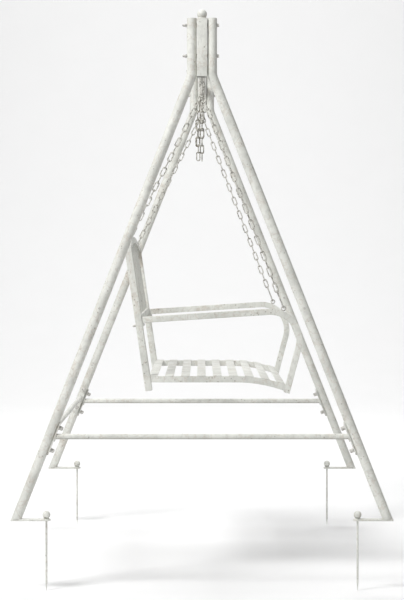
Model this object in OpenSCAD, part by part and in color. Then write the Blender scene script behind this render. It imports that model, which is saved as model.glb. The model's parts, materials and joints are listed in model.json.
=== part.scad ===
// Garden swing bench: a slatted steel bench hung on chains in a double A-frame.
// +X is the way a sitter faces, +Y runs along the ridge beam, +Z is up.
// Z = 0 is at the tips of the ground pegs; the ground itself is at peg_depth.

/* [Frame] */
// Distance between the two A-frames, centre to centre
frame_spacing = 1800; // [1500:10:2200]
// Height of the legs above the ground
leg_height = 1970; // [1800:1:2200]
// Distance between leg centres at the ground
leg_spread = 1461; // [1300:2:1700]
// Outer diameter of the leg tube
leg_d = 38; // [32:1:45]
// Wall of every round tube
tube_wall = 2; // [1.5:0.5:3]
// Height of the bend below the ridge
bend_height = 1745; // [1650:1:1800]
// Centreline radius of the leg bend
bend_radius = 70; // [50:5:120]
// Height of the screw that joins the two leg tubes
leg_screw_height = 833; // [700:1:900]
// Length of the reduced leg end below the seam
spigot_below = 30; // [20:1:50]
// Width of the square ridge posts
post_w = 40; // [36:1:50]
// Thickness of the spacer between a leg and its post
spacer_t = 1; // [0.5:0.5:3]
// Diameter of the ball on each post
ball_d = 38.8; // [30:0.2:50]
// Outer diameter of the ridge beam
beam_d = 32; // [25:1:38]
// Height of the ridge beam's axis
beam_height = 1872; // [1850:1:1880]

/* [Braces and feet] */
// Height of the cross rail in each A-frame
cross_rail_height = 330; // [280:1:450]
// Height of the rail that joins the two rear legs
stretcher_height = 346; // [280:1:450]
// Diameter of the cross rails and the stretcher
rail_d = 22; // [16:1:25]
// Length of a brace end plate
plate_len = 140; // [120:1:160]
// Width of a brace end plate
plate_w = 25; // [22:1:30]
// Thickness of a brace end plate
plate_t = 5; // [3:0.5:6]
// Distance between the two bolts of a plate
plate_bolt_pitch = 94; // [80:1:104]
// Thickness of the foot plates
foot_t = 7; // [4:1:10]
// Width of the foot plates
foot_w = 34; // [30:1:40]
// Distance between the front and rear ground pegs
peg_spread = 1220; // [1100:2:1300]
// Depth of the pegs below the ground
peg_depth = 274; // [200:1:350]
// Diameter of the peg shaft
peg_d = 8; // [6:0.5:12]
// Diameter of the peg's ball head
peg_ball_d = 31; // [24:1:36]

/* [Hanging] */
// Height at which the chains' lines meet, on the gathering ring
chain_apex = 1698; // [1640:1:1710]
// Wire diameter of the hanger link
hanger_wire = 5; // [4:0.5:6]
// Wire diameter of the ring that gathers the chains
ring_wire = 6; // [5:0.5:8]
// Centreline radius of that ring
ring_r = 20; // [19:0.5:24]
// Wire diameter of the chain
chain_wire = 5; // [4:0.5:5]
// Nominal pitch of the chain
chain_pitch = 35; // [30:1:40]
// Outer width of a chain link
chain_w = 20; // [18:1:21]
// Number of spare links that hang below the ring
spare_links = 6; // [2:1:6]
// Length of a snap hook, end to end
snap_len = 80; // [70:1:90]

/* [Bench] */
// Distance between the side frames, centre to centre
bench_width = 1150; // [900:10:1300]
// Side of the square tube of arms and seat rails
arm_w = 25; // [20:1:28]
// Side of the square tube of the back posts
back_post_w = 29; // [25:1:32]
// Backward lean of the back posts, in degrees
back_lean = 8.4; // [5:0.1:12]
// Top of the back posts above the ground
back_height = 1076; // [1000:1:1100]
// Rise of the crest rail in its middle
crest_rise = 44; // [30:1:60]
// Width of a seat slat
slat_w = 36; // [30:1:42]
// Thickness of a seat slat
slat_t = 3; // [3:0.5:6]
// Number of slats
slat_count = 9; // [7:1:10]
// Number of upright bars in the back
bar_count = 13; // [7:1:17]
// Diameter of an upright back bar
bar_d = 10; // [8:1:12]

/* [Hidden] */
$fn = 48;
joint_gap = 0.3; // clearance between pieces that move on each other
slip = 0.15; // radial clearance of pushed-together pieces
bolt_d = 8;
nut_d = 13;
paint_white = [0.84, 0.84, 0.80];
metal_grey = [0.72, 0.72, 0.70];

ground = peg_depth;
side_y = frame_spacing / 2;
leg_r = leg_d / 2;
leg_top_x = post_w / 2 + spacer_t + leg_r;
leg_slope = atan((leg_spread / 2 - leg_top_x) / bend_height);
bend_tangent = bend_radius * tan(leg_slope / 2);
seam_height = leg_screw_height - spigot_below;
leg_bore = leg_d - 2 * tube_wall;
spigot_d = leg_bore - 2 * slip;
screw_d = 6;

hang_y = bench_width / 2;
beam_low = beam_height - beam_d / 2;
eye_r = 8.5; // centreline radius of every eye
eye_wire = 5;
beam_eye_wire = 6;
beam_eye_z = beam_low - 0.5 - eye_r - beam_eye_wire / 2;
hanger_half = 7;
hanger_top = beam_eye_z - eye_r + (beam_eye_wire + hanger_wire) / 2 + joint_gap;
strand_y = 9.5; // the front and rear chains' offset along the ring
ring_z = chain_apex + sqrt(pow(ring_r, 2) - pow(strand_y, 2));
hanger_low = ring_z + ring_r - (ring_wire + hanger_wire) / 2 - joint_gap;
strand_sag = 0.8; // extra room for a link on the ring's sloping wire

// The bench's side view, as [x, z] above the ground
back_foot = [-217, 486.5];
back_axis = [-sin(back_lean), cos(back_lean)];
back_len = (back_height - back_foot.y) / cos(back_lean);
back_rail_up = 298;
crest_w = 25;
back_span = bench_width - back_post_w;
crest_r = (pow(back_span / 2, 2) + pow(crest_rise, 2)) / (2 * crest_rise);
crest_low = back_len - crest_w / 2;
back_bolt_up = 271;
back_bolt_d = 6;
arm_corner = [437, 820];
arm_angle = 3.68;
front_lean = 14.865;
arm_bend_r = 118;
arm_turn = 90 + arm_angle + front_lean;
arm_tangent = arm_bend_r * tan(arm_turn / 2);
arm_rear_x = -244;
arm_run = (arm_corner.x - arm_rear_x) / cos(arm_angle) - arm_tangent;
front_post_run = 354;
arm_eye_angle = 22;
arm_arc = arm_corner - arm_tangent * [cos(arm_angle), sin(arm_angle)]
  + arm_bend_r * [sin(arm_angle), -cos(arm_angle)];
arm_eye_up = [sin(arm_eye_angle), cos(arm_eye_angle)];
arm_eye = arm_arc + (arm_bend_r + arm_w / 2 + eye_r + eye_wire / 2) * arm_eye_up;
back_eye = back_foot + back_axis * (back_len + 3 + eye_wire / 2 + eye_r);
seat_top = 549;
seat_axis = seat_top - slat_t - arm_w / 2;
seat_rear_x = -209;
seat_bend_x = 140;
seat_bend_r = 588;
seat_drop = 20;
slat_pitch = 65.5;
first_slat = -199;
snap_wire = 6;
snap_w = 26;
gate_len = 34;
snap_line = ([0, chain_apex] - arm_eye) / norm([0, chain_apex] - arm_eye);
snap_low = arm_eye + snap_line * (eye_r - (eye_wire + snap_wire) / 2 - joint_gap);
snap_high = snap_low + snap_line * (snap_len - snap_wire);

// ---------- helpers ----------

// Lifts a piece that is drawn from the ground level
module above_ground() {
  translate([0, 0, ground]) children();
}

// Turns the local Z axis to point from a to b, with its origin at a
module aim(a, b) {
  v = b - a;
  translate(a) rotate([0, acos(v.z / norm(v)), atan2(v.y, v.x)]) children();
}

module ring(radius, wire) {
  rotate_extrude() translate([radius, 0]) circle(d = wire);
}

// A closed oval of round wire in the XZ plane, centred on the origin. Its straights are kept
// to whole hundredths, so that their ends meet the curves exactly.
module oval_link(inner_len, width, wire) {
  half_w = (width - wire) / 2;
  straight = round(100 * ((inner_len + wire) / 2 - half_w)) / 100;
  for (end = [-1, 1]) {
    translate([0, 0, end * straight]) rotate([end * 90, 0, 0])
      rotate_extrude(angle = 180) translate([half_w, 0]) circle(d = wire);
    translate([end * half_w, 0, 0]) cylinder(d = wire, h = 2 * straight, center = true);
  }
}

// Number of links for a run: an odd one when odd is 1, else an even one
function link_count(run, odd) = 2 * max(1, round((run / chain_pitch - odd) / 2)) + odd;

// Links from the wire centre at a to the wire centre at b, the first one face-on.
// wire_a and wire_b are the diameters of the wires that the chain hangs between.
module chain(a, b, wire_a, wire_b, odd) {
  run = norm(b - a) + (wire_a + wire_b) / 2;
  n = link_count(run, odd);
  inner = (run + (n + 1) * joint_gap) / n;
  aim(a, b) for (i = [0 : n - 1])
    translate([0, 0, (inner - wire_a) / 2 - joint_gap + i * (inner - joint_gap)])
      rotate([0, 0, (i % 2) * 90]) oval_link(inner, chain_w, chain_wire);
}

module hex_bolt(length, head = 5.5) {
  cylinder(d = bolt_d, h = length);
  translate([0, 0, -head]) cylinder(d = nut_d, h = head, $fn = 6);
}

// A box tube along X from the origin, with its section centred on the axis
module box_tube(length, w) {
  rotate([90, 0, 90]) linear_extrude(length) box_section(w);
}

module box_section(w) {
  difference() {
    square(w, center = true);
    square(w - 2 * tube_wall, center = true);
  }
}

// ---------- frame ----------

module leg_place(front, side) {
  above_ground() translate([0, side * side_y, 0]) mirror([front > 0 ? 0 : 1, 0, 0]) children();
}

// Local frame on the sloping leg axis: origin at height z, +Z up along the leg
module on_leg(z) {
  translate([leg_top_x + (bend_height - z) * tan(leg_slope), 0, z]) rotate([0, -leg_slope, 0])
    children();
}

module leg_section() {
  difference() {
    circle(d = leg_d);
    circle(d = leg_bore);
  }
}

module leg_upper(front, side) {
  slant = (bend_height - seam_height) / cos(leg_slope) - bend_tangent;
  color(paint_white) leg_place(front, side) difference() {
    union() {
      translate([leg_top_x, 0, bend_height + bend_tangent])
        linear_extrude(leg_height - bend_height - bend_tangent) leg_section();
      translate([leg_top_x + bend_radius, 0, bend_height + bend_tangent]) rotate([90, 0, 0])
        rotate([0, 0, 180]) rotate_extrude(angle = leg_slope) translate([bend_radius, 0])
          leg_section();
      on_leg(seam_height) linear_extrude(slant) leg_section();
    }
    for (z = ridge_bolt_heights())
      translate([0, 0, z]) rotate([0, 90, 0]) cylinder(d = bolt_d + 2 * slip, h = leg_spread);
    on_leg(leg_screw_height) rotate([90, 0, 0]) cylinder(d = screw_d + 2 * slip, h = leg_d, center = true);
  }
}

module leg_lower(front, side) {
  slant = seam_height / cos(leg_slope);
  color(paint_white) leg_place(front, side) difference() {
    union() {
      on_leg(0) translate([0, 0, -leg_d]) cylinder(d = leg_d, h = slant + leg_d - joint_gap);
      on_leg(seam_height) translate([0, 0, -1]) cylinder(d = spigot_d, h = 2 * spigot_below + 1);
    }
    on_leg(0) translate([0, 0, -2 * leg_d])
      cylinder(d = spigot_d - 2 * tube_wall, h = slant + 4 * leg_d + 2 * spigot_below);
    translate([leg_spread / 2 - 2 * leg_d, -leg_d, foot_t - 4 * leg_d])
      cube([4 * leg_d, 2 * leg_d, 4 * leg_d]);
    on_leg(leg_screw_height) rotate([90, 0, 0]) cylinder(d = screw_d + 2 * slip, h = leg_d, center = true);
    if (front < 0) stretcher_bolt_holes(side);
    cross_bolt_holes();
  }
}

function ridge_bolt_heights() = [leg_height - 148, leg_height - 28];

module ridge_post(side) {
  base = bend_height - 5;
  color(paint_white) above_ground() translate([0, side * side_y, 0]) difference() {
    translate([-post_w / 2, -post_w / 2, base]) cube([post_w, post_w, leg_height - base]);
    translate([-post_w / 2 + tube_wall, -post_w / 2 + tube_wall, base - 1])
      cube([post_w - 2 * tube_wall, post_w - 2 * tube_wall, leg_height - base + 1 - tube_wall]);
    for (z = ridge_bolt_heights())
      translate([0, 0, z]) rotate([0, 90, 0])
        cylinder(d = bolt_d + 2 * slip, h = 2 * post_w, center = true);
  }
}

module ball_finial(side) {
  collar_t = 4;
  color(paint_white) above_ground() translate([0, side * side_y, leg_height]) union() {
    cylinder(d = 0.85 * ball_d, h = collar_t);
    translate([0, 0, 15.5]) difference() {
      sphere(d = ball_d);
      translate([0, 0, -ball_d - 12]) cube(2 * ball_d, center = true);
    }
  }
}

module ridge_beam() {
  color(paint_white) above_ground() translate([0, 0, beam_height]) rotate([90, 0, 0])
    difference() {
      cylinder(d = beam_d, h = frame_spacing - post_w, center = true);
      cylinder(d = beam_d - 2 * tube_wall, h = frame_spacing, center = true);
      for (y = [-hang_y, hang_y]) translate([0, 0, y]) rotate([90, 0, 0])
        cylinder(d = beam_eye_wire + 2 * slip, h = 2 * beam_d, center = true);
    }
}

// Eye bolts through the beam: a ring below it, a shank and a nut on top
module beam_eyes() {
  nut_h = 6;
  shank = beam_low + beam_d + nut_h + 4 - beam_eye_z - eye_r;
  color(metal_grey) above_ground() for (y = [-hang_y, hang_y]) translate([0, y, beam_eye_z]) union() {
    rotate([0, 90, 0]) ring(eye_r, beam_eye_wire);
    translate([0, 0, eye_r]) cylinder(d = beam_eye_wire, h = shank);
    translate([0, 0, beam_low + beam_d - beam_eye_z]) cylinder(d = nut_d, h = nut_h, $fn = 6);
  }
}

// Height on the leg's axis of plate bolt number i, -1 or 1, about a brace at height z
function plate_bolt_z(z, i) = z + i * plate_bolt_pitch / 2 * cos(leg_slope);

module end_plate() {
  difference() {
    union() {
      cube([plate_t, plate_w, plate_len - plate_w], center = true);
      for (end = [-1, 1]) translate([0, 0, end * (plate_len - plate_w) / 2])
        rotate([0, 90, 0]) cylinder(d = plate_w, h = plate_t, center = true);
    }
    for (i = [-1, 1]) translate([0, 0, i * plate_bolt_pitch / 2])
      rotate([0, 90, 0]) cylinder(d = bolt_d + 2 * slip, h = 2 * plate_t, center = true);
  }
}

module cross_bolt_holes() {
  for (i = [-1, 1]) on_leg(plate_bolt_z(cross_rail_height, i)) rotate([0, -90, 0])
    cylinder(d = bolt_d + 2 * slip, h = leg_d);
}

module stretcher_bolt_holes(side) {
  for (i = [-1, 1]) on_leg(plate_bolt_z(stretcher_height, i)) rotate([side * 90, 0, 0])
    cylinder(d = bolt_d + 2 * slip, h = leg_d);
}

// The rail of one A-frame with its two welded end plates
module cross_rail(side) {
  leg_x = leg_top_x + (bend_height - cross_rail_height) * tan(leg_slope);
  reach = leg_x - (leg_r + plate_t) / cos(leg_slope);
  color(paint_white) above_ground() translate([0, side * side_y, 0]) difference() {
    union() {
      translate([0, 0, cross_rail_height]) rotate([0, 90, 0])
        cylinder(d = rail_d, h = 2 * (reach + plate_t), center = true);
      for (m = [0, 1]) mirror([m, 0, 0]) on_leg(cross_rail_height)
        translate([-leg_r - plate_t / 2, 0, 0]) end_plate();
    }
    translate([0, 0, cross_rail_height]) rotate([0, 90, 0])
      cylinder(d = rail_d - 2 * tube_wall, h = 2 * (reach - plate_t), center = true);
    for (m = [0, 1]) mirror([m, 0, 0]) on_leg(cross_rail_height)
      translate([-leg_r, -leg_d, -leg_d]) cube(2 * leg_d);
  }
}

module rear_stretcher() {
  plate_y = side_y - leg_r - plate_t / 2;
  leg_x = leg_top_x + (bend_height - stretcher_height) * tan(leg_slope);
  color(paint_white) above_ground() difference() {
    union() {
      translate([-leg_x, 0, stretcher_height]) rotate([90, 0, 0])
        cylinder(d = rail_d, h = 2 * plate_y, center = true);
      for (side = [-1, 1]) translate([0, side * plate_y, 0]) mirror([1, 0, 0])
        on_leg(stretcher_height) rotate([0, 0, 90]) end_plate();
    }
    translate([-leg_x, 0, stretcher_height]) rotate([90, 0, 0])
      cylinder(d = rail_d - 2 * tube_wall, h = 2 * (plate_y - plate_t), center = true);
  }
}

module brace_bolts() {
  reach = 22;
  cap = 17;
  color(metal_grey) above_ground() for (side = [-1, 1]) translate([0, side * side_y, 0]) {
    for (m = [0, 1], i = [-1, 1]) mirror([m, 0, 0])
      on_leg(plate_bolt_z(cross_rail_height, i)) translate([-leg_r - plate_t, 0, 0])
        rotate([0, 90, 0]) capped_bolt(reach, cap);
    for (i = [-1, 1]) mirror([1, 0, 0]) on_leg(plate_bolt_z(stretcher_height, i))
      translate([0, -side * (leg_r + plate_t), 0]) rotate([-side * 90, 0, 0])
        capped_bolt(reach - plate_t, cap);
  }
}

// A bolt along +Z with a round domed cap over its hexagon, behind the origin
module capped_bolt(length, cap) {
  cylinder(d = bolt_d, h = length);
  translate([0, 0, 3 - cap]) cylinder(d = nut_d + 4, h = cap - 3);
  translate([0, 0, 3 - cap]) low_dome(nut_d + 4, 3);
}

// A shallow dome that stands behind the origin along -Z
module low_dome(d, rise) {
  radius = (pow(d / 2, 2) + pow(rise, 2)) / (2 * rise);
  intersection() {
    translate([0, 0, radius - rise]) sphere(r = radius);
    translate([0, 0, -rise]) cylinder(d = d, h = rise);
  }
}

// Through screws with a low round head on each side of the leg
module leg_screws() {
  color(metal_grey) for (front = [-1, 1], side = [-1, 1]) leg_place(front, side)
    on_leg(leg_screw_height) rotate([90, 0, 0]) union() {
      cylinder(d = screw_d, h = leg_d + 2, center = true);
      for (end = [0, 1]) mirror([0, 0, end]) translate([0, 0, leg_r + 0.2])
        cylinder(d = 1.6 * screw_d, h = 2);
    }
}

module foot_plates() {
  inner = peg_spread / 2;
  outer = leg_spread / 2 + leg_r;
  color(paint_white) above_ground() for (side = [-1, 1], m = [0, 1])
    translate([0, side * side_y, 0]) mirror([m, 0, 0]) difference() {
      union() {
        translate([inner, -foot_w / 2, 0]) cube([outer - inner, foot_w, foot_t]);
        translate([inner, 0, 0]) cylinder(d = foot_w, h = foot_t);
      }
      translate([inner, 0, -1]) cylinder(d = peg_d + 2 * joint_gap, h = foot_t + 2);
    }
}

module ground_pegs() {
  tip = 30;
  color(paint_white) for (side = [-1, 1], front = [-1, 1])
    translate([front * peg_spread / 2, side * side_y, 0]) union() {
      cylinder(d1 = 1.5, d2 = peg_d, h = tip);
      translate([0, 0, tip]) cylinder(d = peg_d, h = ground + foot_t + peg_ball_d / 2 - tip);
      translate([0, 0, ground + foot_t]) cylinder(d = 0.6 * peg_ball_d, h = 3);
      translate([0, 0, ground + foot_t + peg_ball_d / 2 + 0.6]) sphere(d = peg_ball_d);
    }
}

module ridge_bolts() {
  grip = 2 * (leg_top_x + leg_r);
  washer_t = 1.5;
  color(metal_grey) above_ground() for (side = [-1, 1], z = ridge_bolt_heights())
    translate([grip / 2, side * side_y, z]) rotate([0, -90, 0]) union() {
      translate([0, 0, -washer_t]) cylinder(d = nut_d + 4, h = washer_t);
      translate([0, 0, -washer_t]) hex_bolt(grip + 9 + washer_t, 6.5);
    }
}

module ridge_nuts() {
  face = leg_top_x + leg_r;
  barrel_d = nut_d - 2;
  barrel_h = 12.5;
  color(metal_grey) above_ground() for (side = [-1, 1], z = ridge_bolt_heights())
    translate([-face, side * side_y, z]) rotate([0, -90, 0]) difference() {
      union() {
        cylinder(d = nut_d + 1, h = 6.5);
        cylinder(d = barrel_d, h = barrel_h);
        translate([0, 0, barrel_h]) sphere(d = barrel_d);
      }
      translate([0, 0, -1]) cylinder(d = bolt_d + 2 * slip, h = barrel_h - 1);
    }
}

module ridge_spacers() {
  color(metal_grey) above_ground() for (side = [-1, 1], z = ridge_bolt_heights(), m = [0, 1])
    translate([0, side * side_y, z]) mirror([m, 0, 0]) translate([post_w / 2, 0, 0])
      rotate([0, 90, 0]) difference() {
        cylinder(d = nut_d + 3, h = spacer_t);
        translate([0, 0, -1]) cylinder(d = bolt_d + 2 * slip, h = spacer_t + 2);
      }
}

// ---------- hanging hardware ----------

module hanger(side) {
  color(metal_grey) above_ground() translate([0, side * hang_y, (hanger_top + hanger_low) / 2])
    oval_link(hanger_top - hanger_low - hanger_wire, 2 * hanger_half + hanger_wire, hanger_wire);
}

module chain_ring(side) {
  color(metal_grey) above_ground() translate([0, side * hang_y, ring_z]) rotate([0, 90, 0])
    ring(ring_r, ring_wire);
}

// Where a chain starts on the ring: step 1 is its outer side, -1 its inner side
function strand_start(side, step) =
  [0, side * (hang_y + step * strand_y), chain_apex + abs(step) * strand_sag];

module front_chain(side) {
  color(metal_grey) above_ground() chain(strand_start(side, 1),
    [snap_high.x, side * hang_y, snap_high.y], ring_wire, snap_wire, 1);
}

module rear_chain(side) {
  pull = [0, chain_apex] - back_eye;
  high = back_eye + eye_r * pull / norm(pull);
  color(metal_grey) above_ground() chain(strand_start(side, -1),
    [high.x, side * hang_y, high.y], ring_wire, eye_wire, 0);
}

// Spare links that hang straight down from the gathering ring
module spare_chain(side) {
  top = [0, side * hang_y, ring_z - ring_r];
  drop = [0, 0, -spare_links * chain_pitch + chain_wire];
  color(metal_grey) above_ground() chain(top, top + drop, ring_wire, chain_wire, spare_links % 2);
}

// Places a snap hook's parts: +Z runs up the front chain, the origin is the hook's middle
module snap_place(side) {
  mid = (snap_low + snap_high) / 2;
  above_ground() translate([mid.x, side * hang_y, mid.y])
    rotate([0, atan2(snap_line.x, snap_line.y), 0]) rotate([0, 0, 90]) children();
}

module snap_hook(side) {
  color(metal_grey) snap_place(side) difference() {
    oval_link(snap_len - 2 * snap_wire, snap_w, snap_wire);
    translate([(snap_w - snap_wire) / 2, 0, 0])
      cube([2 * snap_wire, 2 * snap_wire, gate_len], center = true);
  }
}

// The sprung gate, round at both ends so that it can turn
module snap_gate(side) {
  gate_d = snap_wire - 1;
  reach = gate_len / 2 - joint_gap - gate_d / 2;
  color(metal_grey) snap_place(side) translate([(snap_w - snap_wire) / 2, 0, 0]) union() {
    cylinder(d = gate_d, h = 2 * reach, center = true);
    for (end = [-1, 1]) translate([0, 0, end * reach]) sphere(d = gate_d);
  }
}

// ---------- bench ----------

module arm_eyes() {
  color(metal_grey) above_ground() for (side = [-1, 1])
    translate([arm_eye.x, side * hang_y, arm_eye.y]) rotate([90, 0, 0]) ring(eye_r, eye_wire);
}

module back_eyes() {
  color(metal_grey) on_back() for (side = [-1, 1]) translate([0, side * hang_y, back_len]) union() {
    cylinder(d = 8, h = 3 + eye_wire / 2);
    translate([0, 0, 3 + eye_wire / 2 + eye_r]) rotate([90, 0, 0]) ring(eye_r, eye_wire);
  }
}

// Local frame of the back: origin at the foot of the posts, +Z up along them
module on_back() {
  above_ground() translate([back_foot.x, 0, back_foot.y]) rotate([0, -back_lean, 0]) children();
}

module back_post(side) {
  color(paint_white) on_back() translate([0, side * hang_y, 0]) difference() {
    linear_extrude(back_len) square(back_post_w, center = true);
    translate([0, 0, tube_wall]) linear_extrude(back_len - 2 * tube_wall)
      square(back_post_w - 2 * tube_wall, center = true);
    translate([0, 0, back_bolt_up]) rotate([0, 90, 0])
      cylinder(d = back_bolt_d + 2 * slip, h = 2 * back_post_w, center = true);
  }
}

// Distance of the crest rail's axis up the back, at the place y
function crest_up(y) = crest_low + crest_rise - crest_r + sqrt(pow(crest_r, 2) - pow(y, 2));

module crest_rail() {
  half_angle = asin(back_span / 2 / crest_r);
  color(paint_white) on_back() intersection() {
    translate([0, 0, crest_low + crest_rise - crest_r]) rotate([90, 0, 90])
      rotate([0, 0, 90 - half_angle - 2]) rotate_extrude(angle = 2 * half_angle + 4, $fn = 1440)
        translate([crest_r, 0]) box_section(crest_w);
    cube([4 * crest_w, back_span, 4 * back_len], center = true);
  }
}

module back_lower_rail() {
  color(paint_white) on_back() translate([0, -back_span / 2, back_rail_up]) rotate([0, 0, 90])
    box_tube(back_span, crest_w);
}

module back_bars() {
  step = back_span / (bar_count + 1);
  low = back_rail_up + crest_w / 2;
  color(paint_white) on_back() for (i = [1 : bar_count]) {
    y = -back_span / 2 + i * step;
    top = crest_up(abs(y) + bar_d / 2) - (crest_w + joint_gap) / 2;
    translate([0, y, low]) cylinder(d = bar_d, h = top - low);
  }
}

// Local frame of the arm's bend: +Z points from its centre to where the bend has turned by angle
module on_arm_bend(side, angle) {
  above_ground() translate([arm_arc.x, side * hang_y, arm_arc.y]) rotate([0, angle - arm_angle, 0])
    children();
}

// A solid ring of square section w about the Y axis, to be cut where a bend starts and ends
module square_ring(radius, w) {
  rotate([90, 0, 0]) rotate_extrude($fn = 720) translate([radius, 0]) square(w, center = true);
}

// Everything behind the YZ plane, as far as a ring of that radius reaches
module half_space(radius) {
  reach = 3 * radius;
  translate([-reach, -reach / 2, -reach / 2]) cube(reach);
}

// A solid bar of square section w along the arm, its bend and the front post
module arm_bar(side, w) {
  on_arm_bend(side, 0) translate([-arm_run, -w / 2, arm_bend_r - w / 2]) cube([arm_run, w, w]);
  difference() {
    on_arm_bend(side, 0) square_ring(arm_bend_r, w);
    on_arm_bend(side, 0) half_space(arm_bend_r);
    on_arm_bend(side, arm_turn) mirror([1, 0, 0]) half_space(arm_bend_r);
  }
  on_arm_bend(side, arm_turn) translate([0, -w / 2, arm_bend_r - w / 2])
    cube([front_post_run - arm_tangent, w, w]);
}

// Arm and front post in one bent box tube, from its rear end forwards and down
module arm(side) {
  color(paint_white) difference() {
    arm_bar(side, arm_w);
    arm_bar(side, arm_w - 2 * tube_wall);
    on_back() translate([0, side * hang_y, back_len / 2])
      cube([back_post_w, 2 * back_post_w, back_len], center = true);
  }
}

module arm_tabs() {
  tab_t = 3;
  tab_h = 13.2;
  color(paint_white) on_back() for (side = [-1, 1])
    translate([back_post_w / 2 + tab_t / 2, side * hang_y, back_bolt_up]) difference() {
      cube([tab_t, arm_w, tab_h], center = true);
      rotate([0, 90, 0]) cylinder(d = back_bolt_d + 2 * slip, h = 2 * tab_t, center = true);
    }
}

module back_bolts() {
  tab_t = 3;
  color(metal_grey) on_back() for (side = [-1, 1])
    translate([back_post_w / 2 + tab_t, side * hang_y, back_bolt_up]) rotate([0, -90, 0]) union() {
      cylinder(d = back_bolt_d, h = back_post_w + tab_t + 7);
      translate([0, 0, -4]) cylinder(d = 10, h = 4, $fn = 6);
    }
}

module back_nuts() {
  color(metal_grey) on_back() for (side = [-1, 1])
    translate([-back_post_w / 2, side * hang_y, back_bolt_up]) rotate([0, -90, 0]) difference() {
      union() {
        cylinder(d = 10, h = 5);
        cylinder(d = 8.5, h = 13);
      }
      translate([0, 0, -1]) cylinder(d = back_bolt_d + 2 * slip, h = 11);
    }
}

// The solid outlines of the back post and of the front post, for cutting what meets them
module post_outlines(side) {
  on_back() translate([0, side * hang_y, back_len / 2])
    cube([back_post_w + 2 * joint_gap, back_post_w + 2 * joint_gap, 2 * back_len], center = true);
  on_arm_bend(side, arm_turn) translate([0, -arm_w / 2 - joint_gap, arm_bend_r - arm_w / 2])
    cube([front_post_run, arm_w + 2 * joint_gap, arm_w]);
}

// A solid bar of square section w along the level stretch and the front curve of a seat rail
module seat_bar(side, w) {
  above_ground() translate([seat_bend_x, side * hang_y, seat_axis]) {
    translate([seat_rear_x - arm_w - seat_bend_x, -w / 2, -w / 2])
      cube([seat_bend_x - seat_rear_x + arm_w, w, w]);
    translate([0, 0, -seat_bend_r]) difference() {
      square_ring(seat_bend_r, w);
      half_space(seat_bend_r);
      rotate([0, seat_drop, 0]) mirror([1, 0, 0]) half_space(seat_bend_r);
    }
  }
}

module seat_rail(side) {
  color(paint_white) difference() {
    seat_bar(side, arm_w);
    seat_bar(side, arm_w - 2 * tube_wall);
    post_outlines(side);
  }
}

// Flat slats that rest on the rails and follow their curve, notched round the posts
module seat_slats() {
  width = bench_width + arm_w;
  color(paint_white) difference() {
    above_ground() for (i = [0 : slat_count - 1]) slat_at(first_slat + i * slat_pitch)
      translate([-slat_w / 2, -width / 2, 0]) cube([slat_w, width, slat_t]);
    for (side = [-1, 1]) post_outlines(side);
  }
}

// Places a slat whose middle is s along the rails' top, measured from x = 0
module slat_at(s) {
  top_r = seat_bend_r + arm_w / 2;
  angle = max(0, s - seat_bend_x) / top_r * 180 / PI;
  translate([min(s, seat_bend_x), 0, seat_axis - seat_bend_r]) rotate([0, angle, 0])
    translate([0, 0, top_r]) children();
}

leg_upper(1, 1);  // leg_upper_front_left
leg_upper(1, -1);  // leg_upper_front_right
leg_upper(-1, 1);  // leg_upper_rear_left
leg_upper(-1, -1);  // leg_upper_rear_right
leg_lower(1, 1);  // leg_lower_front_left
leg_lower(1, -1);  // leg_lower_front_right
leg_lower(-1, 1);  // leg_lower_rear_left
leg_lower(-1, -1);  // leg_lower_rear_right
ridge_post(1);  // ridge_post_left
ridge_post(-1);  // ridge_post_right
ball_finial(1);  // ball_finial_left
ball_finial(-1);  // ball_finial_right
ridge_beam();
beam_eyes();
cross_rail(1);  // cross_rail_left
cross_rail(-1);  // cross_rail_right
rear_stretcher();
foot_plates();
ground_pegs();
ridge_bolts();
ridge_nuts();
ridge_spacers();
brace_bolts();
leg_screws();
hanger(1);  // hanger_left
hanger(-1);  // hanger_right
chain_ring(1);  // chain_ring_left
chain_ring(-1);  // chain_ring_right
front_chain(1);  // front_chain_left
front_chain(-1);  // front_chain_right
rear_chain(1);  // rear_chain_left
rear_chain(-1);  // rear_chain_right
spare_chain(1);  // spare_chain_left
spare_chain(-1);  // spare_chain_right
snap_hook(1);  // snap_hook_left
snap_hook(-1);  // snap_hook_right
snap_gate(1);  // snap_gate_left
snap_gate(-1);  // snap_gate_right
arm_eyes();
back_eyes();
back_post(1);  // back_post_left
back_post(-1);  // back_post_right
crest_rail();
back_lower_rail();
back_bars();
arm(1);  // arm_left
arm(-1);  // arm_right
arm_tabs();
seat_rail(1);  // seat_rail_left
seat_rail(-1);  // seat_rail_right
seat_slats();
back_bolts();
back_nuts();
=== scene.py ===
# %% [markdown]
# # A garden swing bench
#
# The design already exists as exact CAD parts: a steel A-frame at each end, a ridge beam
# between them, and a slatted bench on four chains. This notebook brings those parts into
# Blender and gives them what the design leaves out: rounded tube edges, weld beads, the
# slack ends of chain, and old off-white paint. The parts arrive in metres, each one where
# it belongs, so nothing here has to be fitted or moved.

# %% Load the parts
import json
import math

import bmesh
import bpy
from mathutils import Matrix, Vector

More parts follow.
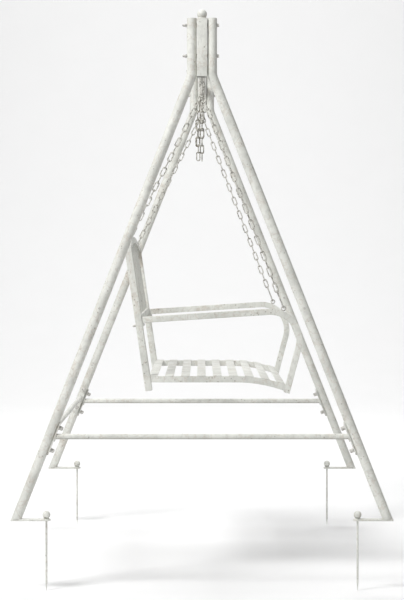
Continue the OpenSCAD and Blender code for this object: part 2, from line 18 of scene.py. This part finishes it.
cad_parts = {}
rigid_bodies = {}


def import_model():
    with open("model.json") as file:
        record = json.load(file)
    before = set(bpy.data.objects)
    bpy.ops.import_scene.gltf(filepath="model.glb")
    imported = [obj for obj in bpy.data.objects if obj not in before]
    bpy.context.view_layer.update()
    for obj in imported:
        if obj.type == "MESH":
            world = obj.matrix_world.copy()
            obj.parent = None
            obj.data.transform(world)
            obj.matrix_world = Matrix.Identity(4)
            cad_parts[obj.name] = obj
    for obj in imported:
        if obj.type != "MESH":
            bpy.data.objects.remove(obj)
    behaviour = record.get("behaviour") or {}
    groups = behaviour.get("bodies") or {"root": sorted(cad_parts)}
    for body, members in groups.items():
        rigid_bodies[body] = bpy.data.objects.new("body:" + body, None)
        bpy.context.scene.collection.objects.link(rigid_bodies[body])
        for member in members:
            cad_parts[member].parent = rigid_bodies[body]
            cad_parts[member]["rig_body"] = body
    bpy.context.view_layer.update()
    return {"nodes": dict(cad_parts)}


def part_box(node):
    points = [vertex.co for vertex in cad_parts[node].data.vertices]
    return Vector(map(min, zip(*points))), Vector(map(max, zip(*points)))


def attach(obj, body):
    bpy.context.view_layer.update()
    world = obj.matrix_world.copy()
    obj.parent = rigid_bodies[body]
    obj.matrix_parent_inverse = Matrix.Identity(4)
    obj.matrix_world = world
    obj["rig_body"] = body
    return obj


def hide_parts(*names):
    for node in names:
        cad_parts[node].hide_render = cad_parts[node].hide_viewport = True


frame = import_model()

nodes = frame["nodes"]

# %% [markdown]
# ## The camera
#
# The swing is seen from the end, along its ridge, from about eight metres away and a little
# above one metre up. The camera stays level, so that upright things stay upright. Tilting it
# down to centre the swing would make the legs lean together. Shifting the lens instead
# moves the picture without turning the camera, as a view camera's rising back does.

# %% Place the camera
GROUND = 0.274              # the pegs reach this far below the grass
EYE_HEIGHT = GROUND + 1.0377
DISTANCE = 8.217
SENSOR_MM = 36
LENS_MM = 111.96
LENS_DROP = -0.0733         # as a share of the picture's longer side

camera = bpy.data.objects.new("camera", bpy.data.cameras.new("camera"))
bpy.context.scene.collection.objects.link(camera)
camera.location = (0, -DISTANCE, EYE_HEIGHT)
camera.rotation_euler = (math.radians(90), 0, 0)
camera.data.sensor_width = SENSOR_MM
camera.data.lens = LENS_MM
camera.data.shift_y = LENS_DROP
bpy.context.scene.camera = camera
print("camera at", tuple(round(v, 3) for v in camera.location), "lens", camera.data.lens)

# %% [markdown]
# ## The studio
#
# The swing stands on a plain pale floor that sweeps up behind it, so that no horizon line
# cuts through the frame. A floor and a wall would show a corner, and a curve drawn point by
# point is slow to change. So the sweep is a square whose back edge is extruded upwards, with
# a wide bevel where it turns.

# %% Make the floor and its sweep
FLOOR_REACH = 14
WALL_HEIGHT = 12
SWEEP_RADIUS = 6

sweep = bmesh.new()
bmesh.ops.create_grid(sweep, x_segments=1, y_segments=1, size=FLOOR_REACH)
back_edge = max(sweep.edges, key=lambda e: sum(v.co.y for v in e.verts))
raised = bmesh.ops.extrude_edge_only(sweep, edges=[back_edge])["geom"]
top = [v for v in raised if isinstance(v, bmesh.types.BMVert)]
bmesh.ops.translate(sweep, verts=top, vec=(0, 0, WALL_HEIGHT))
bmesh.ops.bevel(sweep, geom=[e for e in sweep.edges if len(e.link_faces) == 2],
                offset=SWEEP_RADIUS, segments=24, profile=0.5, affect="EDGES",
                material=-1)
bmesh.ops.recalc_face_normals(sweep, faces=sweep.faces)
floor_mesh = bpy.data.meshes.new("studio_floor")
sweep.to_mesh(floor_mesh)
sweep.free()
floor_mesh.shade_smooth()
floor = bpy.data.objects.new("studio_floor", floor_mesh)
bpy.context.scene.collection.objects.link(floor)
print("floor faces", len(floor_mesh.polygons))

# %% [markdown]
# ## The light
#
# Thin round tubes look round only when light slides gently from one side to the other. A
# small lamp would draw a hard line along each tube, and an even sky alone would leave them
# flat. So one large soft lamp hangs in front on the left, a weak one on the right fills its
# shadows, and a third lights the sweep behind the swing, which keeps the background pale.
# A dim sky takes care of what no lamp reaches.


# %% Hang the lamps
def soft_lamp(name, place, target, size, watts):
    """A square lamp that faces the target."""
    lamp = bpy.data.objects.new(name, bpy.data.lights.new(name, "AREA"))
    lamp.data.size = size
    lamp.data.energy = watts
    lamp.location = place
    direction = Vector(target) - Vector(place)
    lamp.rotation_euler = direction.to_track_quat("-Z", "Y").to_euler()
    bpy.context.scene.collection.objects.link(lamp)
    print(name, "of", size, "m at", place, "with", watts, "W")


soft_lamp("key_lamp", place=(-3.5, -4.0, 7.0), target=(0, 0, 0.8), size=2.2, watts=520)
soft_lamp("fill_lamp", place=(5.0, -4.0, 5.0), target=(0, 0, 1.0), size=4.0, watts=30)
soft_lamp("backdrop_lamp", place=(0, 5.0, 9.0), target=(0, 9, 1.0), size=6.0, watts=650)

# %% Dim the sky
SKY_STRENGTH = 0.24

sky = bpy.data.worlds.new("sky")
sky.use_nodes = True
sky_light = sky.node_tree.nodes["Background"].inputs
sky_light["Color"].default_value = (1, 1, 1, 1)
sky_light["Strength"].default_value = SKY_STRENGTH
bpy.context.scene.world = sky
bpy.context.scene.view_settings.view_transform = "Standard"
print("sky strength", SKY_STRENGTH)

# %% [markdown]
# ## Writing materials as sums
#
# A procedural material is arithmetic on patterns. Placing a Math node by hand for each
# plus and minus hides that arithmetic, so a small class wraps a node's output and lets
# Python's own operators add the Math nodes. Its reflected forms make `1 - mask` work as
# well as `mask - 1`. A second class owns the node tree and makes every other node with
# one method: the type, its settings, then its inputs.


# %% Wrap a socket
class Value:
    """A node's output, for use in sums."""

    def __init__(self, finish, socket):
        self.finish = finish
        self.socket = socket

    def math(self, operation, *inputs):
        sockets = dict(enumerate(inputs))
        return self.finish.node("ShaderNodeMath", {"operation": operation}, sockets)

    def __add__(self, other):
        return self.math("ADD", self, other)

    def __sub__(self, other):
        return self.math("SUBTRACT", self, other)

    def __rsub__(self, other):
        return self.math("SUBTRACT", other, self)

    def __mul__(self, other):
        return self.math("MULTIPLY", self, other)

    def size(self):
        """How far the value is from zero."""
        return self.math("ABSOLUTE", self)

    __radd__ = __add__
    __rmul__ = __mul__


OPERATORS = ("add__", "sub__", "mul__")
print("sums can use", [name for name in vars(Value) if name.endswith(OPERATORS)])


# %% Own a node tree
class Finish:
    """A material under construction."""

    def __init__(self, name):
        self.material = bpy.data.materials.new(name)
        self.material.use_nodes = True
        self.tree = self.material.node_tree
        self.shader = self.tree.nodes["Principled BSDF"]

    def node(self, kind, settings=None, inputs=None, output=0):
        """Adds one node: its type, its settings, then its inputs."""
        made = self.tree.nodes.new(kind)
        for name, value in (settings or {}).items():
            if name == "stops":
                for stop, (position, shade) in zip(made.color_ramp.elements, value):
                    stop.position = position
                    stop.color = (shade, shade, shade, 1)
            else:
                setattr(made, name, value)
        self.fill(made, inputs or {})
        return Value(self, made.outputs[output])

    def fill(self, made, inputs):
        for name, value in inputs.items():
            if isinstance(value, Value):
                self.tree.links.new(value.socket, made.inputs[name])
            else:
                made.inputs[name].default_value = value

    def surface(self, **inputs):
        """Sets the shader's own sockets: Base_Color stands for Base Color."""
        self.fill(self.shader, {k.replace("_", " "): v for k, v in inputs.items()})
        return self.material


print("a finish can", [name for name in vars(Finish) if not name.startswith("_")])

# %% [markdown]
# ## Patterns that every finish shares
#
# Paint and steel age in the same few ways: broad clouds of colour, fine grain, scattered
# specks and long faint scratches. Each is a noise or a cell pattern on the piece's own
# coordinates, in metres, pushed through a ramp that keeps only its peaks. Because they read
# Object coordinates, the patterns stay on a part when it swings.


# %% Define clouds and specks
def coordinates(finish, stretch=(1, 1, 1)):
    """The piece's own coordinates, stretched along an axis if asked."""
    spot = finish.node("ShaderNodeTexCoord", output="Object")
    return finish.node("ShaderNodeMapping", {}, {"Vector": spot, "Scale": stretch})


def clouds(finish, scale, detail=4.0, stretch=(1, 1, 1)):
    """Soft noise between 0 and 1, scale blots to the metre."""
    inputs = {"Vector": coordinates(finish, stretch), "Scale": scale, "Detail": detail}
    return finish.node("ShaderNodeTexNoise", {}, inputs)


def peaks(finish, pattern, low, high):
    """Only the part of a pattern above low, full at high."""
    stops = {"stops": [(low, 0.0), (high, 1.0)]}
    return finish.node("ShaderNodeValToRGB", stops, {"Fac": pattern})


def specks(finish, scale, radius):
    """Small separate dots: the middles of a cell pattern."""
    cells = finish.node("ShaderNodeTexVoronoi", {},
                        {"Vector": coordinates(finish), "Scale": scale}, output="Distance")
    return 1 - peaks(finish, cells, radius * 0.6, radius)


print("patterns", [pattern.__name__ for pattern in (clouds, peaks, specks)])

# %% Define tints, undersides and relief
# A Mix node has one set of sockets for each kind of value: these are the colour ones.
MIX_FACTOR, MIX_BASE, MIX_OVER, MIXED_COLOUR = 0, 6, 7, 2


def tint(finish, amount, base, over):
    """Mixes one colour over another by a mask."""
    base, over = (c if isinstance(c, Value) else (*c, 1) for c in (base, over))
    inputs = {MIX_FACTOR: amount, MIX_BASE: base, MIX_OVER: over}
    return finish.node("ShaderNodeMix", {"data_type": "RGBA"}, inputs, MIXED_COLOUR)


def underside(finish, low, high):
    """Full where the piece at rest faces straight down, none where it faces sideways."""
    facing = finish.node("ShaderNodeTexCoord", output="Normal")
    upward = finish.node("ShaderNodeSeparateXYZ", {}, {"Vector": facing}, output="Z")
    return peaks(finish, upward * -1, low, high)


def relief(finish, height, strength, depth):
    """A height in the finish, as bumps of at most depth metres."""
    inputs = {"Height": height, "Strength": strength, "Distance": depth}
    return finish.node("ShaderNodeBump", {}, inputs)


print("layers", [layer.__name__ for layer in (tint, underside, relief)])

# %% [markdown]
# ## Old off-white paint
#
# The tubes are painted a warm white that has weathered. Its colour drifts between a
# creamier and a greyer white over a hand's width, with faint brown stains, small dark
# specks where the paint has chipped, and hairline scratches along the tubes. The surface
# is satin, with the slight orange peel of a brushed or sprayed enamel. The faces that look
# down get painted shade: their colour is darkened towards a deep grey, and they are duller.
# The wear is kept weak: the swing is old but cared for.

# %% Mix the paint
CREAM = (0.77, 0.775, 0.725)
GREY_WHITE = (0.56, 0.565, 0.525)
STAIN = (0.50, 0.42, 0.345)
CHIP = (0.24, 0.22, 0.185)
# Painted shade: the deep grey that the faces looking down are darkened towards.
UNDERSIDE_SHADE = (0.17, 0.165, 0.14)
ALONG_THE_LEGS = (420, 420, 30)     # squeezes clouds into upright hairlines


def paint(name):
    """Off-white enamel with its drift, stains, chips and scratches, and painted shade below.
    """
    finish = Finish(name)
    drift = peaks(finish, clouds(finish, scale=9, detail=6), 0.42, 0.62)
    colour = tint(finish, drift * 0.5, CREAM, GREY_WHITE)
    wash = peaks(finish, clouds(finish, scale=46, detail=6), 0.48, 0.66)
    colour = tint(finish, wash * 0.5, colour, GREY_WHITE)
    contours = (clouds(finish, scale=17, detail=7) - 0.5).size()
    veins = 1 - peaks(finish, contours, 0.0, 0.022)
    colour = tint(finish, veins * 0.38, colour, STAIN)
    stains = peaks(finish, clouds(finish, scale=6.5, detail=8), 0.58, 0.70)
    patches = peaks(finish, clouds(finish, scale=60), 0.36, 0.60)
    colour = tint(finish, stains * patches * 0.55, colour, STAIN)
    chips = specks(finish, 70, 0.24) * peaks(finish, clouds(finish, scale=13), 0.50, 0.60)
    colour = tint(finish, chips * 0.7, colour, CHIP)
    hairs = clouds(finish, scale=1, detail=3, stretch=ALONG_THE_LEGS)
    colour = tint(finish, peaks(finish, hairs, 0.62, 0.70) * 0.3, colour, CHIP)
    # Painted shade: faces that look down are darkened in colour, and made duller too.
    painted_underside_shade = underside(finish, 0.35, 0.95)
    colour = tint(finish, painted_underside_shade * 0.72, colour, UNDERSIDE_SHADE)
    roughness = 0.42 + 0.14 * drift + 0.2 * stains + 0.1 * painted_underside_shade
    peel = clouds(finish, scale=420, detail=2) * 0.35 + wash * 0.3 - chips - veins * 0.3
    return finish.surface(Base_Color=colour, Roughness=roughness,
                          Normal=relief(finish, peel, 0.35, 0.0006))


paint_finish = paint("old_paint")
print("paint nodes", len(paint_finish.node_tree.nodes))

# %% [markdown]
# ## Chain and fittings
#
# The chain was painted with the frame, and rubs bare where its links meet. A thinner, more
# broken coat shows grey steel and a trace of rust under it. Steel needs Metallic close to
# one and paint needs zero, so the mask that uncovers the steel drives Metallic too. The
# slack ends are never wiped clean by use, so theirs is the darkest and rustiest coat. The
# bolt heads and cap nuts keep more of their zinc.


# %% Mix worn paint over steel
def worn_steel(name, coat, steel, rust, bare_from, bare_at):
    """Paint that gives way to bare steel where a fine noise passes bare_at."""
    finish = Finish(name)
    broken = clouds(finish, scale=120, detail=5)
    bare = peaks(finish, broken, bare_from, bare_at)
    rusty = peaks(finish, clouds(finish, scale=210), 0.5, 0.66)
    metal = tint(finish, rusty * 0.7, steel, rust)
    shade = peaks(finish, clouds(finish, scale=26, detail=3), 0.40, 0.62)
    dull_coat = tuple(channel * 0.82 for channel in coat)
    colour = tint(finish, bare, tint(finish, shade * 0.5, coat, dull_coat), metal)
    grain = broken * 0.6 - bare * 0.8
    return finish.surface(Base_Color=colour, Metallic=bare * 0.75,
                          Roughness=0.5 + 0.15 * shade - 0.08 * bare,
                          Normal=relief(finish, grain, 0.4, 0.0005))


chain_finish = worn_steel("painted_chain", coat=(0.64, 0.63, 0.58),
                          steel=(0.34, 0.335, 0.305), rust=(0.24, 0.195, 0.15),
                          bare_from=0.50, bare_at=0.60)
slack_finish = worn_steel("weathered_chain", coat=(0.53, 0.515, 0.46),
                          steel=(0.26, 0.25, 0.22), rust=(0.20, 0.155, 0.115),
                          bare_from=0.45, bare_at=0.57)
fitting_finish = worn_steel("painted_fittings", coat=(0.62, 0.61, 0.575),
                            steel=(0.42, 0.42, 0.40), rust=(0.30, 0.24, 0.19),
                            bare_from=0.50, bare_at=0.62)
for finish in (chain_finish, slack_finish, fitting_finish):
    print(finish.name, len(finish.node_tree.nodes), "nodes")

# %% [markdown]
# ## Studio paper
#
# The floor and its sweep stand for a roll of matt white paper. A flat colour would do, but
# real paper drifts a little in tone, and that keeps the wide empty floor from looking like
# a cut-out. Its two whites are almost the same, so the drift is felt more than seen.

# %% Paper the studio
studio = Finish("studio_paper")
fibre = peaks(studio, clouds(studio, scale=3, detail=3), 0.3, 0.8)
paper = tint(studio, fibre, (0.93, 0.93, 0.93), (0.92, 0.92, 0.92))
floor_mesh.materials.append(studio.surface(Base_Color=paper, Roughness=0.9))
print("finishes", [m.name for m in bpy.data.materials])

# %% [markdown]
# ## Which finish goes where
#
# A swing like this is sprayed in one go after its frame is welded, and only the chain and
# the fasteners come from somewhere else. The parts' own names say which is which: a name
# with chain or hanger in it is chain, a spare chain has the weathered coat, the names of
# fasteners and hooks are fittings, and all the rest is painted tube. Sorting by name also
# gives a finish to any part that is added later.

# %% Give each part its finish
CHAIN_PARTS = ("chain", "hanger")
FITTINGS = ("bolts", "nuts", "screws", "spacers", "eyes", "snap_")


def finish_for(name):
    """The material and the slot of the CAD part of that name."""
    if "spare" in name:
        return slack_finish, "chain"
    if any(word in name for word in CHAIN_PARTS):
        return chain_finish, "chain"
    if any(word in name for word in FITTINGS):
        return fitting_finish, "hardware"
    return paint_finish, "paint"


for name, part in nodes.items():
    part.data.materials.clear()
    part.data.materials.append(finish_for(name)[0])
print("parts finished", len(nodes))

# %% [markdown]
# ## Rounded edges
#
# A square tube is rolled from strip, so its corners are round, and even a sheared plate has
# a soft edge. Perfectly sharp edges catch no light, which is what makes a model look like a
# drawing. The shapes are right, so each boxy part is copied, its triangles merged into
# whole faces, and its hard edges bevelled. Edges shorter than a few millimetres belong to
# bolt holes and are left alone.

# %% Write the piece tools
SHARP = math.radians(32)        # edges that turn less than this shade as smooth
FLAT = math.radians(0.5)        # neighbours that turn less than this are one face
SAME_SPOT = 2e-6                # vertices closer than this are one vertex


def piece_from(mesh, name, finish, body):
    """Turns a finished bmesh into a piece that rides on a body."""
    data = bpy.data.meshes.new(name)
    mesh.to_mesh(data)
    mesh.free()
    data.shade_smooth()
    data.set_sharp_from_angle(angle=SHARP)
    data.materials.append(finish)
    piece = bpy.data.objects.new(name, data)
    bpy.context.scene.collection.objects.link(piece)
    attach(piece, body)
    return piece


def merged_copy(name):
    """A CAD part's mesh as whole faces on shared vertices."""
    mesh = bmesh.new()
    mesh.from_mesh(nodes[name].data)
    bmesh.ops.remove_doubles(mesh, verts=mesh.verts, dist=SAME_SPOT)
    bmesh.ops.dissolve_limit(mesh, angle_limit=FLAT, verts=mesh.verts, edges=mesh.edges)
    return mesh


whole_faces = merged_copy("seat_slats")
print("slats:", len(nodes["seat_slats"].data.polygons), "triangles,",
      len(whole_faces.faces), "whole faces")
whole_faces.free()


# %% Round the boxy parts
HARD = math.radians(50)
SHORTEST = 0.0025


def round_edges(name, radius):
    """Replaces a CAD part by a copy with a bevel on its hard edges."""
    mesh = merged_copy(name)
    hard = [e for e in mesh.edges if len(e.link_faces) == 2
            and e.calc_face_angle() > HARD and e.calc_length() > SHORTEST]
    bmesh.ops.bevel(mesh, geom=hard, offset=radius, offset_type="OFFSET", segments=3,
                    profile=0.5, affect="EDGES", material=-1, clamp_overlap=True)
    finish, slot = finish_for(name)
    piece = piece_from(mesh, name + "_rounded", finish, nodes[name]["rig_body"])
    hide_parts(name)
    return piece


TUBE_CORNER = 0.003
SLAT_EDGE = 0.0009
PLATE_EDGE = 0.0015
SQUARE_TUBES = (
    "ridge_post_left", "ridge_post_right", "back_post_left", "back_post_right",
    "arm_left", "arm_right", "crest_rail", "back_lower_rail",
    "seat_rail_left", "seat_rail_right",
)

edge_radius = {name: TUBE_CORNER for name in SQUARE_TUBES}
edge_radius.update(seat_slats=SLAT_EDGE, foot_plates=PLATE_EDGE)
for name, radius in edge_radius.items():
    rounded = round_edges(name, radius)
    print(name, len(rounded.data.polygons), "faces")

# %% [markdown]
# ## Weld beads
#
# Where a rail meets its plate, or a bar meets its rail, a real frame has a raised weld, and
# the bare CAD parts only touch. A bead is a small round section spun once about the tube's
# axis. Its crest is pushed in and out a little as it goes round, which gives the stacked
# look of a hand-made weld. All beads of one body are joined in one mesh.


# %% Spin one bead
BEAD_SIDES = 6
STEPS_PER_RIPPLE = 4
RIPPLE_DEPTH = 0.35             # as a share of the bead's thickness


def bead(into, centre, axis, radius, thickness, ripples):
    """Adds a rippled ring of weld about an axis."""
    ring = bmesh.new()
    stand = Matrix.Translation((radius, 0, 0)) @ Matrix.Rotation(math.radians(90), 4, "X")
    bmesh.ops.create_circle(ring, segments=BEAD_SIDES, radius=thickness, matrix=stand)
    bmesh.ops.spin(ring, geom=ring.verts[:] + ring.edges[:], cent=(0, 0, 0),
                   axis=(0, 0, 1), angle=math.tau, steps=STEPS_PER_RIPPLE * ripples,
                   use_merge=True)
    bmesh.ops.remove_doubles(ring, verts=ring.verts, dist=1e-6)
    for vert in ring.verts:
        turn = math.atan2(vert.co.y, vert.co.x)
        vert.co.xy *= 1 + RIPPLE_DEPTH * thickness / radius * math.cos(ripples * turn)
    bmesh.ops.recalc_face_normals(ring, faces=ring.faces)
    turned = Vector((0, 0, 1)).rotation_difference(Vector(axis)).to_matrix().to_4x4()
    ring.transform(Matrix.Translation(centre) @ turned)
    data = bpy.data.meshes.new("bead")
    ring.to_mesh(data)
    ring.free()
    into.from_mesh(data)
    bpy.data.meshes.remove(data)


def middle(name):
    low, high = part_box(name)
    return (Vector(low) + Vector(high)) / 2


print("a bead has", BEAD_SIDES, "sides and", STEPS_PER_RIPPLE, "steps to a ripple")

# %% Weld the ridge beam to its posts
frame_beads = bmesh.new()
beam = middle("ridge_beam")
for side in ("left", "right"):
    post_low, post_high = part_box("ridge_post_" + side)
    inner = post_low[1] if side == "left" else post_high[1]
    bead(frame_beads, (beam.x, inner, beam.z), (0, 1, 0),
         radius=0.0163, thickness=0.0018, ripples=10)
print("beam welds", len(frame_beads.faces), "faces")

# %% Weld the rails to their plates
LEG_SLOPE = math.radians(21.6)  # away from upright
RAIL_END = 0.5741               # from the middle of the swing to the face of the plate
PLATE_THICKNESS = 0.005

for name in ("cross_rail_left", "cross_rail_right"):
    rail = middle(name)
    for way in (-1, 1):
        facing = (way * math.cos(LEG_SLOPE), 0, math.sin(LEG_SLOPE))
        bead(frame_beads, (way * RAIL_END, rail.y, rail.z), facing,
             radius=0.0116, thickness=0.0017, ripples=9)
stretcher = middle("rear_stretcher")
plate_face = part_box("rear_stretcher")[1][1] - PLATE_THICKNESS
for way in (-1, 1):
    bead(frame_beads, (stretcher.x, way * plate_face, stretcher.z), (0, 1, 0),
         radius=0.0113, thickness=0.0017, ripples=9)
welds = piece_from(frame_beads, "weld_beads_frame", paint_finish, "root")
print("frame welds", len(welds.data.polygons), "faces")

# %% [markdown]
# ## Welds of the back
#
# Each upright bar of the back is welded at its top to the crest and at its foot to the lower
# rail. There are too many places to type in, and they follow the crest's arch. The bars
# themselves know them: the two ends of a bar are its only faces that look along the back's
# lean, so a bead goes round the middle of each such face.

# %% Weld the back's upright bars
BACK_LEAN = math.radians(8.4)
SAME_WAY = 0.99                 # cosine between two directions that count as one
SMALLEST_END = 4e-5             # square metres

bench_beads = bmesh.new()
bars = merged_copy("back_bars")
lean = Vector((-math.sin(BACK_LEAN), 0, math.cos(BACK_LEAN)))
caps = [f for f in bars.faces
        if abs(f.normal.dot(lean)) > SAME_WAY and f.calc_area() > SMALLEST_END]
for cap in caps:
    bead(bench_beads, cap.calc_center_median(), lean,
         radius=0.0052, thickness=0.0013, ripples=6)
bars.free()
welds = piece_from(bench_beads, "weld_beads_back", paint_finish, "bench")
print("back welds", len(caps), "beads,", len(welds.data.polygons), "faces")

# %% [markdown]
# ## The slack ends of the chains
#
# Each chain was bought a little long and hooked up short, so a few links hang down beside
# the ring. The CAD holds one slack end on each side, and the rear chain has a second one,
# which hangs a little lower and is one link shorter. It is the same chain, so there is no
# need to model it again: a merged copy of the modelled end is moved there and loses its
# lowest link. It follows the bench.

# %% Hang the second slack ends
LINK_PITCH = 0.035
BESIDE = 0.0085                 # towards the middle of the bench
LOWER = 0.034


def link_of(vert):
    """Every vertex of the chain link that the vertex belongs to."""
    link, fresh = {vert}, [vert]
    while fresh:
        near = {e.other_vert(v) for v in fresh for e in v.link_edges}
        fresh = list(near - link)
        link |= near
    return list(link)


for side, inward in (("left", -1), ("right", 1)):
    strand = merged_copy("spare_chain_" + side)
    lowest = min(strand.verts, key=lambda v: v.co.z)
    bmesh.ops.delete(strand, geom=link_of(lowest), context="VERTS")
    bmesh.ops.translate(strand, verts=strand.verts,
                        vec=(-LINK_PITCH / 2, inward * BESIDE, -LOWER))
    slack = piece_from(strand, "slack_strand_" + side, slack_finish, "bench")
    print(slack.name, len(slack.data.polygons), "faces")

# %% [markdown]
# ## The size of the swing
# #
# # Rounding and welding should not change how big the swing is.
